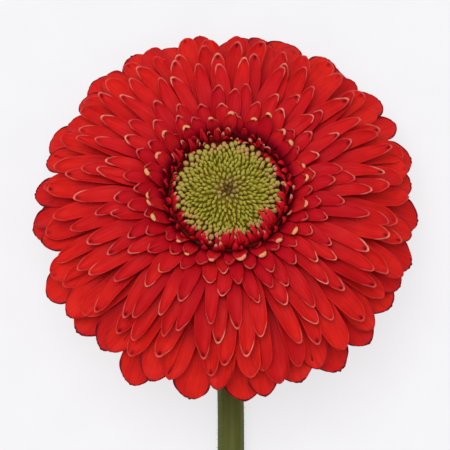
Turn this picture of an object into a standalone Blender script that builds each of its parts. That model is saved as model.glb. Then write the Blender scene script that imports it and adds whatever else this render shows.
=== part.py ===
"""A cut gerbera: a double red bloom on a short stem, lying on a surface with its face up.

Units are metres and +Z is up. The origin is the middle of the flower's base, on the surface it lies on.
The head has a frame of its own: its +Z is the bloom's axis, and the stem joins it at its origin.
"""

import math
import random

import bmesh
import bpy
from mathutils import Matrix, Vector

MM = 0.001

# The head's place and lean. It leans away from the stem, so that the stem passes under the raised side.
HEAD_LEAN = math.radians(19.2)
HEAD_BASE = Vector((0.5 * MM, 73.2 * MM, 18.6 * MM))
SURFACE_GIVE = 0.8 * MM

# The involucre: a cup of green bracts round the receptacle.
CUP_FOOT_RADIUS = 4.6 * MM
CUP_TOP_RADIUS = 21.6 * MM
CUP_TOP = 10.0 * MM
CUP_BULGE = 0.9
CUP_SIDES = 32
CUP_PROFILE_STEPS = 7
# Each row of bracts, from the foot up: how many, where they start and end on the cup, and their half width.
BRACT_ROWS = (
    (11, 0.8 * MM, 5.2 * MM, 1.9 * MM),
    (15, 2.2 * MM, 8.0 * MM, 2.5 * MM),
    (21, 4.6 * MM, 10.2 * MM, 2.8 * MM),
)
# A bract's outline and skin, as shares of its length where they aren't lengths.
BRACT_FOOT_WIDTH = 0.5
BRACT_OPEN = 0.4
BRACT_TAPER_FROM = 0.3
BRACT_TAPER = 1.7
BRACT_FREE_FROM = 0.75
BRACT_TIP_REACH = 2.2 * MM
BRACT_PROUD = 0.5 * MM
BRACT_EDGE_SUNK = 0.2 * MM
BRACT_STATIONS = (0, 0.3, 0.7, 1)

# What the cup carries starts this far above it, and what stands side by side keeps the same gap.
SEAT_GAP = 0.3 * MM
SEAT = CUP_TOP + SEAT_GAP

# A strap floret's outline: the share of its length by which its claw has opened, and how blunt its tip is.
STRAP_OPEN = 0.6
STRAP_BLUNT = 2.2

# The ray and disc florets are set in spirals, each one turned this far on from the one before.
SPIRAL_ANGLE = math.radians(137.508)

# The ray florets, from the outermost in: their number, where the first one stands, how far out the tips of
# the first and last are, the power of the way in that spreads the others between, and how many of the last
# end in one ring.
RAY_SEED = 49
RAY_COUNT = 262
RAY_START = math.radians(305)
RAY_TIPS = (57.2 * MM, 24.5 * MM)
RAY_TIPS_POWER = 1.7
RAY_IN_RING = 23
RAY_RING_INNER = 17.3 * MM
RAY_RING_SIDES = 36
RAY_RING_LIP = 0.3 * MM
RAY_RING_RIM = 1.5 * MM
# Each pair runs from the outermost floret to the innermost. An arc's angles are its slope at root and tip.
RAY_ROOT_RADIUS = (20.9 * MM, 18.1 * MM)
RAY_ROOT_HEIGHT = (11.4 * MM, 16.6 * MM)
RAY_HALF_WIDTH = (5.8 * MM, 2.2 * MM)
RAY_WIDE_UNTIL = 0.26
RAY_RISE = (math.radians(2), math.radians(74))
RAY_FALL = (math.radians(-43), math.radians(34))
RAY_CLAW = (0.34, 0.75)
RAY_TIP_FROM = (0.85, 0.74)
# The slope and taper of a tip, and the claw, change little among the outer florets: this power of the way
# in drives them.
RAY_INNER_POWER = 3
RAY_CHANNEL = (0.08, 0.3)
RAY_THICKNESS = 0.8 * MM
RAY_OUTER_STATIONS = (0, 0.4, 0.84, 0.965, 1)
RAY_INNER_STATIONS = (0, 0.5, 0.92, 1)
RAY_INNER_FROM = 0.28
# How far one floret may differ from its neighbours.
RAY_TURN_DRAW = math.radians(1.5)
RAY_RISE_DRAW = math.radians(2)
RAY_FALL_DRAW = math.radians(5)
RAY_ROLL_DRAW = math.radians(7)
RAY_WIDTH_DRAW = 0.08
RAY_TIP_DRAW = (-1.8 * MM, 1.0 * MM)
# The bloom reaches a little further on one side than on the other, most with its outer florets.
RAY_SKEW = 1.1 * MM
RAY_SKEW_TURN = math.radians(-108)

# The trans florets: short red straps in the furrow between the ray florets and the disc.
TRANS_SEED = 5
TRANS_COUNT = 40
TRANS_RING_OUTER = RAY_RING_INNER - SEAT_GAP
TRANS_RING_INNER = 15.4 * MM
TRANS_RING_TOP = 15.0 * MM
TRANS_ROOT = (16.4 * MM, 14.0 * MM)
TRANS_LENGTH = 8.5 * MM
TRANS_HALF_WIDTH = 1.5 * MM
TRANS_CLAW = 0.75
TRANS_CHANNEL = 0.2
TRANS_TIP_FROM = 0.5
TRANS_THICKNESS = 0.65 * MM
TRANS_STATIONS = (0, 0.45, 0.88, 1)
# They leave the ring upright. Some lean in over the disc and some out over the furrow.
TRANS_RISE = math.radians(90)
TRANS_FALL = (math.radians(119), math.radians(64))
TRANS_TURN_DRAW = 0.25
TRANS_ROLL_DRAW = math.radians(8)
TRANS_WIDTH_DRAW = 0.15
TRANS_LENGTH_DRAW = (-0.2, 0.1)

# The disc florets: closed buds on a low dome, wider set towards its edge.
DISC_RADIUS = TRANS_RING_INNER - SEAT_GAP
DISC_DOME_EDGE = 16.0 * MM
DISC_DOME_TOP = 19.2 * MM
DISC_DOME_STEPS = 5
DISC_SPREAD = 0.56
DISC_BUDS = 90
DISC_BUD_SIDES = 5
DISC_BUD_RADIUS = (1.05 * MM, 1.35 * MM)
DISC_BUD_TIP = 0.8
DISC_BUD_RISE = (1.8 * MM, 2.0 * MM)
DISC_BUD_SUNK = 0.6 * MM
DISC_EDGE_LEAN = math.radians(9)

# The stem, from its seat under the cup to the cut.
NECK_RADIUS = 3.8 * MM
CUT_RADIUS = 4.4 * MM
NECK_STRAIGHT = 1.5 * MM
STEM_LENGTH = 205 * MM
# How far the stem runs to one side after its bend and to the other by its cut, and the shares of its level
# run over which it does so. It meets the surface only beyond STEM_DOWN_BY.
STEM_SIDE_SWAY = 0.9 * MM
STEM_SWAY_BY = 0.25
STEM_BOW = 1.65 * MM
STEM_BOW_FROM = 0.3
STEM_LIFT = 0.9 * MM
STEM_DOWN_BY = 0.87
STEM_BEND_POINTS = 9
STEM_RUN_POINTS = 13
STEM_BEVEL_STEPS = 4

COLOURS = {
    "stem": ((0.16, 0.22, 0.05, 1), 0.6),
    "involucre": ((0.17, 0.26, 0.06, 1), 0.6),
    "ray_florets": ((0.62, 0.012, 0.012, 1), 0.5),
    "trans_florets": ((0.50, 0.012, 0.015, 1), 0.5),
    "disc_florets": ((0.42, 0.44, 0.06, 1), 0.55),
}


def sign(value):
    return (value > 0) - (value < 0)


def mix(ends, share):
    return ends[0] + (ends[1] - ends[0]) * share


def smooth(x):
    x = min(max(x, 0), 1)
    return x * x * (3 - 2 * x)


def head_matrix():
    return Matrix.Translation(HEAD_BASE) @ Matrix.Rotation(-HEAD_LEAN, 4, "X")


def laid_on_surface(point, clearance):
    """The point, in the head's frame, bent up where it would be closer to the surface than the clearance."""
    placed = head_matrix() @ point
    over = (placed.z - clearance) / SURFACE_GIVE
    placed.z = clearance + SURFACE_GIVE * (max(over, 0) + math.log1p(math.exp(-abs(over))))
    return head_matrix().inverted() @ placed


def empty_scene():
    for old in list(bpy.data.objects):
        bpy.data.objects.remove(old)


def collection(name):
    made = bpy.data.collections.new(name)
    bpy.context.scene.collection.children.link(made)
    return made


def put(name, mesh, where):
    obj = bpy.data.objects.new(name, mesh)
    where.objects.link(obj)
    return obj


def material(name):
    colour, roughness = COLOURS[name]
    made = bpy.data.materials.new(name)
    made.use_nodes = True
    shader = made.node_tree.nodes["Principled BSDF"]
    shader.inputs["Base Color"].default_value = colour
    shader.inputs["Roughness"].default_value = roughness
    shader.inputs["Metallic"].default_value = 0
    return made


def turned(name, profile, sides, where, ring=False):
    """A solid of revolution: the profile is (radius, height) points from the top down its outer side."""
    mesh = bpy.data.meshes.new(name)
    links = [(k, k + 1) for k in range(len(profile) - 1)]
    if ring:
        links.append((len(profile) - 1, 0))
    mesh.from_pydata([(radius, 0, height) for radius, height in profile], links, [])
    obj = put(name, mesh, where)
    screw = obj.modifiers.new("turn", "SCREW")
    screw.steps = screw.render_steps = sides
    screw.use_merge_vertices = True
    screw.merge_threshold = 0.01 * MM
    return obj


def blade(stations, shape, where):
    """A leaf-like solid of kite section, made from a sphere of four meridians.

    stations are shares of the length at the sphere's rings, from the root's pole to the tip's.
    shape(share, side, face) gives a point: side is -1, 0 or 1 across, and face the same from under to upper.
    """
    bm = bmesh.new()
    rings = len(stations) - 1
    bmesh.ops.create_uvsphere(bm, u_segments=4, v_segments=rings, radius=1)
    ring_of = {}
    on_edge = {}
    for vert in bm.verts:
        ring = round(math.acos(max(-1, min(1, vert.co.z))) / math.pi * rings)
        at_pole = ring in (0, rings)
        on_edge[vert] = not at_pole and abs(vert.co.x) > abs(vert.co.y)
        ring_of[vert] = ring
        side = sign(vert.co.x) if on_edge[vert] else 0
        face = 0 if at_pole or on_edge[vert] else sign(vert.co.y)
        vert.co = shape(stations[ring], side, face)
    for quad in [f for f in bm.faces if len(f.verts) == 4]:
        lower = min(ring_of[v] for v in quad.verts)
        start = next(v for v in quad.verts if on_edge[v] and ring_of[v] == lower)
        end = next(v for v in quad.verts if not on_edge[v] and ring_of[v] != lower)
        bmesh.utils.face_split(quad, start, end)
    if bm.calc_volume(signed=True) < 0:
        bmesh.ops.reverse_faces(bm, faces=bm.faces)
    mesh = bpy.data.meshes.new("blade")
    bm.to_mesh(mesh)
    bm.free()
    return put("blade", mesh, where)


def arc_length(reach, first, last):
    """The length of a strap whose slope runs from first to last while it reaches this far out."""
    return reach * (last - first) / (math.sin(last) - math.sin(first))


def arc_point(root, length, first, last, share):
    """The radius and height of a point on the middle of such a strap, and the strap's slope there."""
    angle = first + (last - first) * share
    bend = (last - first) / length
    radius = root[0] + (math.sin(angle) - math.sin(first)) / bend
    height = root[1] - (math.cos(angle) - math.cos(first)) / bend
    return radius, height, angle


def strap_width(share, claw, tip_from):
    """Half width as a share of its greatest: a narrow claw, then a strap that rounds to its tip."""
    opened = claw + (1 - claw) * smooth(share / STRAP_OPEN)
    past = max(0, (share - tip_from) / (1 - tip_from))
    return opened * (1 - past**STRAP_BLUNT) ** (1 / STRAP_BLUNT)


def strap_shape(floret):
    """The shape function of a strap floret, in the head's frame."""
    turn = Matrix.Rotation(floret["turn"], 3, "Z")
    half_thick = floret["thickness"] / 2

    def shape(share, side, face):
        radius, height, angle = arc_point(
            floret["root"], floret["length"], floret["rise"], floret["fall"], share
        )
        upward = Vector((-math.sin(angle), 0, math.cos(angle)))
        sideways = Vector((0, math.cos(floret["roll"]), 0)) + upward * math.sin(floret["roll"])
        across = floret["half_width"] * strap_width(share, floret["claw"], floret["tip_from"])
        middle = Vector((radius, 0, height)) + sideways * (across * side)
        middle += upward * (floret["channel"] * across * abs(side))
        return laid_on_surface(turn @ middle, half_thick) + turn @ upward * (half_thick * face)

    return shape


def ray_florets():
    """The sizes and places of the ray florets, from the outermost in."""
    draw = random.Random(RAY_SEED).uniform
    for k in range(RAY_COUNT):
        inward = k / (RAY_COUNT - 1)
        root = (mix(RAY_ROOT_RADIUS, inward), mix(RAY_ROOT_HEIGHT, inward))
        rise = mix(RAY_RISE, inward) + draw(-RAY_RISE_DRAW, RAY_RISE_DRAW)
        fall = mix(RAY_FALL, inward**RAY_INNER_POWER) + draw(-RAY_FALL_DRAW, RAY_FALL_DRAW)
        turn = RAY_START + k * SPIRAL_ANGLE + draw(-RAY_TURN_DRAW, RAY_TURN_DRAW)
        tips = mix(RAY_TIPS, min(1, k / (RAY_COUNT - RAY_IN_RING)) ** RAY_TIPS_POWER)
        reach = tips + draw(*RAY_TIP_DRAW) + RAY_SKEW * (1 - inward) * math.cos(turn - RAY_SKEW_TURN)
        narrowing = 1 - math.exp(-((inward / RAY_WIDE_UNTIL) ** 1.5))
        width = mix(RAY_HALF_WIDTH, narrowing)
        yield {
            "inward": inward,
            "turn": turn,
            "root": root,
            "length": arc_length(reach - root[0], rise, fall),
            "half_width": width * (1 + draw(-RAY_WIDTH_DRAW, RAY_WIDTH_DRAW)),
            "rise": rise,
            "fall": fall,
            "roll": draw(-RAY_ROLL_DRAW, RAY_ROLL_DRAW),
            "claw": mix(RAY_CLAW, inward**RAY_INNER_POWER),
            "channel": mix(RAY_CHANNEL, inward),
            "tip_from": mix(RAY_TIP_FROM, inward**RAY_INNER_POWER),
            "thickness": RAY_THICKNESS,
        }


def trans_florets():
    """The sizes and places of the short straps round the disc."""
    draw = random.Random(TRANS_SEED).uniform
    for k in range(TRANS_COUNT):
        yield {
            "turn": (k + draw(-TRANS_TURN_DRAW, TRANS_TURN_DRAW)) * math.tau / TRANS_COUNT,
            "root": TRANS_ROOT,
            "length": TRANS_LENGTH * (1 + draw(*TRANS_LENGTH_DRAW)),
            "half_width": TRANS_HALF_WIDTH * (1 + draw(-TRANS_WIDTH_DRAW, TRANS_WIDTH_DRAW)),
            "rise": TRANS_RISE,
            "fall": draw(*TRANS_FALL),
            "roll": draw(-TRANS_ROLL_DRAW, TRANS_ROLL_DRAW),
            "claw": TRANS_CLAW,
            "channel": TRANS_CHANNEL,
            "tip_from": TRANS_TIP_FROM,
            "thickness": TRANS_THICKNESS,
        }


def keep_largest_shell(mesh):
    """Drops the other shells of a joined mesh: small hollows that crossing pieces sealed, and scraps."""
    bm = bmesh.new()
    bm.from_mesh(mesh)
    unseen = set(bm.verts)
    largest = set()
    while unseen:
        front = [unseen.pop()]
        shell = set(front)
        while front:
            vert = front.pop()
            reached = {edge.other_vert(vert) for edge in vert.link_edges} & unseen
            unseen -= reached
            shell |= reached
            front += reached
        largest = max(largest, shell, key=len)
    bmesh.ops.delete(bm, geom=[vert for vert in bm.verts if vert not in largest], context="VERTS")
    bm.to_mesh(mesh)
    bm.free()


def joined(core, repeats, name):
    """The core with every repeat fused to it, as one plain mesh. The repeats and their collection go."""
    join = core.modifiers.new("join", "BOOLEAN")
    join.operation = "UNION"
    join.operand_type = "COLLECTION"
    join.collection = repeats
    join.solver = "MANIFOLD"
    graph = bpy.context.evaluated_depsgraph_get()
    mesh = bpy.data.meshes.new_from_object(core.evaluated_get(graph))
    mesh.name = name
    keep_largest_shell(mesh)
    for repeat in list(repeats.objects):
        bpy.data.objects.remove(repeat)
    bpy.data.collections.remove(repeats)
    core.modifiers.clear()
    core.data = mesh
    core.name = name
    return core


def make_ray_florets(where):
    top = mix(RAY_ROOT_HEIGHT, 1) + RAY_RING_LIP
    rim_radius = RAY_ROOT_RADIUS[0] + RAY_RING_RIM
    profile = [
        (RAY_RING_INNER, TRANS_RING_TOP),
        (RAY_ROOT_RADIUS[1] + RAY_RING_LIP, top),
        (rim_radius, RAY_ROOT_HEIGHT[0] + RAY_RING_LIP),
        (rim_radius, SEAT),
        (RAY_RING_INNER, SEAT),
    ]
    core = turned("ray_florets", profile, RAY_RING_SIDES, where, ring=True)
    blades = collection("ray blades")
    for floret in ray_florets():
        stations = RAY_OUTER_STATIONS if floret["inward"] < RAY_INNER_FROM else RAY_INNER_STATIONS
        blade(stations, strap_shape(floret), blades)
    return joined(core, blades, "ray_florets")


def make_trans_florets(where):
    profile = [
        (TRANS_RING_INNER, TRANS_RING_TOP),
        (TRANS_RING_OUTER, TRANS_RING_TOP),
        (TRANS_RING_OUTER, SEAT),
        (TRANS_RING_INNER, SEAT),
    ]
    core = turned("trans_florets", profile, RAY_RING_SIDES, where, ring=True)
    blades = collection("trans blades")
    for floret in trans_florets():
        blade(TRANS_STATIONS, strap_shape(floret), blades)
    return joined(core, blades, "trans_florets")


def dome_height(radius):
    share = min(radius / DISC_RADIUS, 1)
    return mix((DISC_DOME_TOP, DISC_DOME_EDGE), share**2)


def disc_bud(k, where):
    """A closed floret of the disc: a five-sided bud that leans out a little towards the edge."""
    share = ((k + 0.5) / DISC_BUDS) ** DISC_SPREAD
    radius = share * (DISC_RADIUS - DISC_BUD_RADIUS[1] - SEAT_GAP)
    width = mix(DISC_BUD_RADIUS, share)
    rise = mix(DISC_BUD_RISE, share)
    depth = rise + DISC_BUD_SUNK
    bm = bmesh.new()
    bmesh.ops.create_cone(
        bm,
        cap_ends=True,
        segments=DISC_BUD_SIDES,
        radius1=width,
        radius2=width * DISC_BUD_TIP,
        depth=depth,
    )
    mesh = bpy.data.meshes.new("bud")
    bm.to_mesh(mesh)
    bm.free()
    bud = put("bud", mesh, where)
    lean = Matrix.Rotation(DISC_EDGE_LEAN * share, 4, "Y")
    at = Matrix.Translation((radius, 0, dome_height(radius) + rise - depth / 2))
    bud.matrix_world = Matrix.Rotation(k * SPIRAL_ANGLE, 4, "Z") @ at @ lean
    return bud


def make_disc_florets(where):
    radii = [DISC_RADIUS * k / DISC_DOME_STEPS for k in range(DISC_DOME_STEPS + 1)]
    profile = [(radius, dome_height(radius)) for radius in radii] + [(DISC_RADIUS, SEAT), (0, SEAT)]
    core = turned("disc_florets", profile, CUP_SIDES, where)
    buds = collection("buds")
    for k in range(DISC_BUDS):
        disc_bud(k, buds)
    return joined(core, buds, "disc_florets")


def cup_radius(height):
    """The cup's outer radius: a round bowl from the foot to the top."""
    share = min(max(height / CUP_TOP, 0), 1)
    bowl = math.sin(share * math.pi / 2) ** CUP_BULGE
    return mix((CUP_FOOT_RADIUS, CUP_TOP_RADIUS), bowl)


def bract_width(share):
    """Half width as a share of its greatest: narrower at the foot, then full, then drawn out to a point."""
    opened = mix((BRACT_FOOT_WIDTH, 1), smooth(share / BRACT_OPEN))
    past = max(0, share - BRACT_TAPER_FROM) / (1 - BRACT_TAPER_FROM)
    return opened * math.sqrt(1 - past**BRACT_TAPER)


def bract_shape(turn, foot, top, half_width):
    """The shape function of a bract that hugs the cup, its lower face sunk in it, and frees its tip."""
    around = Matrix.Rotation(turn, 3, "Z")
    step = 0.1 * MM

    def shape(share, side, face):
        height = mix((foot, top), share)
        surface = cup_radius(height)
        slope = cup_radius(height + step) - surface
        outward = Vector((step, 0, -slope)).normalized()
        free = max(0, share - BRACT_FREE_FROM) / (1 - BRACT_FREE_FROM)
        radius = surface + BRACT_TIP_REACH * free
        point = Vector((radius, 0, height)) + outward * (BRACT_PROUD * face - BRACT_EDGE_SUNK)
        spread = half_width * bract_width(share) * side / radius
        return around @ Matrix.Rotation(spread, 3, "Z") @ point

    return shape


def make_involucre(where):
    steps = CUP_PROFILE_STEPS
    side = [(cup_radius(CUP_TOP * k / steps), CUP_TOP * k / steps) for k in range(steps, -1, -1)]
    core = turned("involucre", [(0, CUP_TOP)] + side + [(0, 0)], CUP_SIDES, where)
    blades = collection("bract blades")
    for row, (count, foot, top, half_width) in enumerate(BRACT_ROWS):
        for k in range(count):
            turn = (k + row / 3) * math.tau / count
            blade(BRACT_STATIONS, bract_shape(turn, foot, top, half_width), blades)
    return joined(core, blades, "involucre")


def stem_route():
    """The stem's centre line and radii, in the world, from its seat under the cup to the cut."""
    axis = head_matrix().to_3x3() @ Vector((0, 0, 1))
    seat = HEAD_BASE - axis * SEAT_GAP
    neck = seat - axis * NECK_STRAIGHT
    turn = math.pi / 2 - HEAD_LEAN
    bend = (neck.z - NECK_RADIUS - STEM_LIFT) / (1 - math.cos(turn))
    centre = neck + Vector((0, -math.cos(HEAD_LEAN), math.sin(HEAD_LEAN))) * bend
    route = [(seat, 0)]
    for k in range(STEM_BEND_POINTS):
        angle = turn * k / (STEM_BEND_POINTS - 1)
        towards = Matrix.Rotation(-angle, 3, "X") @ (neck - centre)
        route.append((centre + towards, NECK_STRAIGHT + bend * angle))
    start, passed = route[-1]
    run = STEM_LENGTH - passed
    for k in range(1, STEM_RUN_POINTS + 1):
        share = k / STEM_RUN_POINTS
        radius = mix((NECK_RADIUS, CUT_RADIUS), (passed + run * share) / STEM_LENGTH)
        lift = STEM_LIFT * (1 - smooth(share / STEM_DOWN_BY))
        bow = STEM_BOW * (max(0, share - STEM_BOW_FROM) / (1 - STEM_BOW_FROM)) ** 2
        sway = STEM_SIDE_SWAY * smooth(share / STEM_SWAY_BY) - bow
        place = Vector((HEAD_BASE.x + sway, start.y - run * share, radius + lift))
        route.append((place, passed + run * share))
    return [(point, mix((NECK_RADIUS, CUT_RADIUS), length / STEM_LENGTH)) for point, length in route]


def make_stem(where):
    curve = bpy.data.curves.new("stem", "CURVE")
    curve.dimensions = "3D"
    curve.bevel_depth = NECK_RADIUS
    curve.bevel_resolution = STEM_BEVEL_STEPS
    curve.use_fill_caps = True
    route = stem_route()
    spline = curve.splines.new("POLY")
    spline.points.add(len(route) - 1)
    for point, (place, radius) in zip(spline.points, route):
        point.co = (*place, 1)
        point.radius = radius / NECK_RADIUS
    return put("stem", curve, where)


def main():
    empty_scene()
    flower = collection("gerbera flower")
    stem = make_stem(flower)
    head = [
        make_involucre(flower),
        make_ray_florets(flower),
        make_trans_florets(flower),
        make_disc_florets(flower),
    ]
    frame = put("head", None, flower)
    frame.matrix_world = head_matrix()
    for node in head:
        node.parent = frame
    for node in head + [stem]:
        node.data.materials.clear()
        node.data.materials.append(material(node.name))


main()
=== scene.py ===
"""The looks of a cut gerbera that lies on a pale floor with its open bloom facing up to the camera.

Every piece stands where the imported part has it. The florets, bracts and stem follow the same rules and the
same seeded draws as the part's solids, with finer shapes. Lengths are in metres, and point values named mm in
millimetres.
"""

import math
import random
from math import radians
from types import SimpleNamespace

import bpy
import numpy as np
from mathutils import Matrix, Vector


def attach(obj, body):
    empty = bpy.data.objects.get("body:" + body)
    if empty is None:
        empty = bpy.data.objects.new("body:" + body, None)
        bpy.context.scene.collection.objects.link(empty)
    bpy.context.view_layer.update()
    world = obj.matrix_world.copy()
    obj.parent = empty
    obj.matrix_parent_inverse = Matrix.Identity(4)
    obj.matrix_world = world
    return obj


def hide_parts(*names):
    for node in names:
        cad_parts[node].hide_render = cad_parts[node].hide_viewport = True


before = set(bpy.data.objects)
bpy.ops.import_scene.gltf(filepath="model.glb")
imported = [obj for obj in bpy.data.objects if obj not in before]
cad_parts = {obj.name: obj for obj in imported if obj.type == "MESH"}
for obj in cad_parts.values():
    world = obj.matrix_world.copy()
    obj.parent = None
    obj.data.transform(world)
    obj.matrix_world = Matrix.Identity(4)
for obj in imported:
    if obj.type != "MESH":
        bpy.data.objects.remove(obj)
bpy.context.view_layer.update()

MM = 0.001
BODY = "root"
MAP_NAME = "OFBake"

# The head's place and lean, as in the part.
HEAD_LEAN = radians(19.2)
HEAD_BASE = Vector((0.5 * MM, 73.2 * MM, 18.6 * MM))
SURFACE_GIVE = 0.8 * MM

# The involucre's cup, and its rows of bracts: how many, where each starts and ends, and its half width.
CUP_FOOT_RADIUS = 4.6 * MM
CUP_TOP_RADIUS = 21.6 * MM
CUP_TOP = 10.0 * MM
CUP_BULGE = 0.9
BRACT_ROWS = (
    (11, 0.8 * MM, 5.2 * MM, 1.9 * MM),
    (15, 2.2 * MM, 8.0 * MM, 2.5 * MM),
    (21, 4.6 * MM, 10.2 * MM, 2.8 * MM),
)
BRACT_FOOT_WIDTH = 0.5
BRACT_OPEN = 0.4
BRACT_TAPER_FROM = 0.3
BRACT_TAPER = 1.7
BRACT_FREE_FROM = 0.75
BRACT_TIP_REACH = 2.2 * MM
BRACT_SEED = 31
BRACT_GRID = (18, 9)
BRACT_THICKNESS = 0.44 * MM
BRACT_MARGIN = 0.4 * MM
BRACT_PROUD = (0.1 * MM, 0.42 * MM)
BRACT_PROUD_DRAW = 0.12 * MM
SEAT_GAP = 0.3 * MM
SEAT = CUP_TOP + SEAT_GAP

# The ray and disc florets' spirals, and the ray florets, as in the part.
SPIRAL_ANGLE = radians(137.508)
STRAP_OPEN = 0.6
STRAP_TIP_ROUND = 0.03
RAY_SEED = 49
RAY_COUNT = 262
RAY_START = radians(305)
RAY_TIPS = (57.2 * MM, 24.5 * MM)
RAY_TIPS_POWER = 1.7
RAY_IN_RING = 23
RAY_RING_INNER = 17.3 * MM
RAY_RING_LIP = 0.3 * MM
RAY_RING_RIM = 1.5 * MM
RAY_ROOT_RADIUS = (20.9 * MM, 18.1 * MM)
RAY_ROOT_HEIGHT = (11.4 * MM, 16.6 * MM)
RAY_HALF_WIDTH = (5.8 * MM, 2.2 * MM)
RAY_WIDE_UNTIL = 0.26
RAY_NARROWS_POWER = 1.5
RAY_RISE = (radians(2), radians(74))
RAY_FALL = (radians(-43), radians(34))
RAY_CLAW = (0.34, 0.75)
RAY_INNER_POWER = 3
RAY_CHANNEL = (0.08, 0.3)
RAY_TIP_FROM = (0.85, 0.74)
RAY_POINTED_BY = 0.4
RAY_TURN_DRAW = radians(1.5)
RAY_RISE_DRAW = radians(2)
RAY_FALL_DRAW = radians(5)
RAY_ROLL_DRAW = radians(7)
RAY_WIDTH_DRAW = 0.08
RAY_TIP_DRAW = (-1.8 * MM, 1.0 * MM)
RAY_SKEW = 1.1 * MM
RAY_SKEW_TURN = radians(-108)

# What the finer ray florets add: their own seed and skin, how far they reach, less where they point to the
# far edge, and each piece's grid of points along and across.
PETAL_SEED = 23
PETAL_THICKNESS = 0.42 * MM
PETAL_MARGIN = 0.45 * MM
PETAL_FIT = 0.991
PETAL_FAR_TRIM = 0.014
PETAL_FAR_POWER = 6
PETAL_GRIDS = ((30, 19), (30, 17), (28, 13), (28, 13), (26, 13), (24, 13), (24, 13), (24, 13))

# The trans florets, as in the part.
TRANS_SEED = 5
TRANS_COUNT = 40
TRANS_RING_OUTER = RAY_RING_INNER - SEAT_GAP
TRANS_RING_INNER = 15.4 * MM
TRANS_RING_TOP = 15.0 * MM
TRANS_ROOT = (16.4 * MM, 14.0 * MM)
TRANS_LENGTH = 8.5 * MM
TRANS_HALF_WIDTH = 1.5 * MM
TRANS_CLAW = 0.75
TRANS_CHANNEL = 0.2
TRANS_TIP_FROM = 0.5
TRANS_RISE = radians(90)
TRANS_FALL = (radians(119), radians(64))
TRANS_TURN_DRAW = 0.25
TRANS_ROLL_DRAW = radians(8)
TRANS_WIDTH_DRAW = 0.15
TRANS_LENGTH_DRAW = (-0.2, 0.1)

# The finer trans florets, which stand in twos, and in threes where they crowd in over the disc.
TRANS_THICKNESS = 0.4 * MM
TRANS_GRID = (16, 9)
TRANS_APART = radians(2.6)
CROWDED_SIDE = radians(-42)
CROWDED_FROM = 0.2
CROWDED_POWER = 1.6

# The small inner lips of the innermost ray florets, which hide the rings between the disc and the petals.
LIP_SEED = 12
LIP_COUNT = 46
LIP_TURN_DRAW = 0.4
LIP_ROOT_RADIUS = (17.0 * MM, 18.4 * MM)
LIP_ROOT_HEIGHT = 15.4 * MM
LIP_LENGTH = (4.2 * MM, 6.6 * MM)
LIP_HALF_WIDTH = (0.8 * MM, 1.4 * MM)
LIP_RISE = radians(88)
LIP_FALL = (radians(35), radians(125))

# The pale rims of the innermost ring's tips: their radius, how wide and high they are for that, how much of
# the tip they span, how far off its middle they sit, where they start, and how far they run down its sides.
RIM_RADIUS = (0.3 * MM, 0.5 * MM)
RIM_WIDE = 1.2
RIM_HIGH = 0.85
RIM_SPAN = (0.45, 0.95)
RIM_OFF = 0.5
RIM_FROM = 0.985
RIM_FALLS = 0.13
RIM_GRID = (13, 10)

# The disc's dome, as in the part, with buds at their real spacing: close in the middle, wider at the edge.
DISC_RADIUS = TRANS_RING_INNER - SEAT_GAP
DISC_DOME_EDGE = 16.0 * MM
DISC_DOME_TOP = 19.2 * MM
DISC_SEED = 7
BUD_REACH = 14.7 * MM
BUD_SPACING = (1.24 * MM, 1.75 * MM)
BUD_WIDENS = (0.62, 1.0)
BUD_RADIUS = (0.43, 0.47)
BUD_SUNK = 0.8 * MM
BUD_RISE = (1.8 * MM, 2.5 * MM)
BUD_HEIGHTS = (0, 0, 0.3, 0.55, 0.72, 0.83, 0.91, 0.965, 0.99, 1)
BUD_WIDTHS = (0, 0.66, 0.76, 0.92, 1, 0.96, 0.82, 0.56, 0.3, 0)
BUD_SIDES = 15
BUD_LOBES = 5
BUD_LOBE_DEPTH = 0.1
BUD_EDGE_FROM = 0.7
BUD_OFF = 0.1 * MM
BUD_OFF_AT_EDGE = (-0.35 * MM, 0.25 * MM)
BUD_WIDTH_DRAW = (0.92, 1.08)
BUD_RISE_DRAW = (0.88, 1.12)
BUD_STRETCH = (1.1, 1.5)
BUD_LEAN = (radians(42), radians(12))
BUD_LEAN_BY_SIDE = (0.55, 1.1)
BUD_LEAN_DRAW = radians(10)
BUD_TILT_DRAW = radians(12)
BUD_SPIN_DRAW = 0.5
DIMPLE_RISE = 0.25
DIMPLE_REACH = 0.16

# The down on the stem and the bracts: hairs, each a closed spike of three sides. Askew is a way that no hair
# points, to work out the ways across a hair from.
DOWN_SEED = 41
HAIR_LENGTH = (0.45 * MM, 0.9 * MM)
HAIR_RADIUS = 0.03 * MM
HAIR_ASKEW = (0.31, 0.82, 0.47)
STEM_HAIRS = 3000
STEM_HAIR_LEAN = 0.4
STEM_HAIR_ROOT = 0.97
BRACT_HAIRS = 1500
BRACT_HAIR_LEAN = 0.5
BRACT_HAIR_ROOT = 0.25 * MM
BRACT_HAIRS_RISE = (0.5 * MM, 9.3 * MM)

# The stem's route, as in the part.
NECK_RADIUS = 3.8 * MM
CUT_RADIUS = 4.4 * MM
NECK_STRAIGHT = 1.5 * MM
STEM_LENGTH = 205 * MM
STEM_SIDE_SWAY = 0.9 * MM
STEM_SWAY_BY = 0.25
STEM_BOW = 1.65 * MM
STEM_BOW_FROM = 0.3
STEM_LIFT = 0.9 * MM
STEM_DOWN_BY = 0.87
STEM_BEND_POINTS = 9
STEM_RUN_POINTS = 13

# What the finer stem adds: its grid of points along and around, ribs and hollows as their number and depth, a
# flare under the head, and the cut face as rings that sink towards its middle.
STEM_GRID = (170, 96)
STEM_SMOOTHINGS = 6
STEM_RIBS = (12, 0.022)
STEM_HOLLOWS = (5, 0.012)
STEM_FLARE = 0.1
STEM_FLARE_LENGTH = 5 * MM
CUT_BACK = 0.05
CUT_STEPS = (0.97, 0.9, 0.78, 0.6, 0.4, 0.2, 0)
CUT_DIPS_MM = (0, 0.02, 0.05, 0.06, 0.14, 0.3, 0.34)
CUT_EDGE_MM = 0.6

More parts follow.
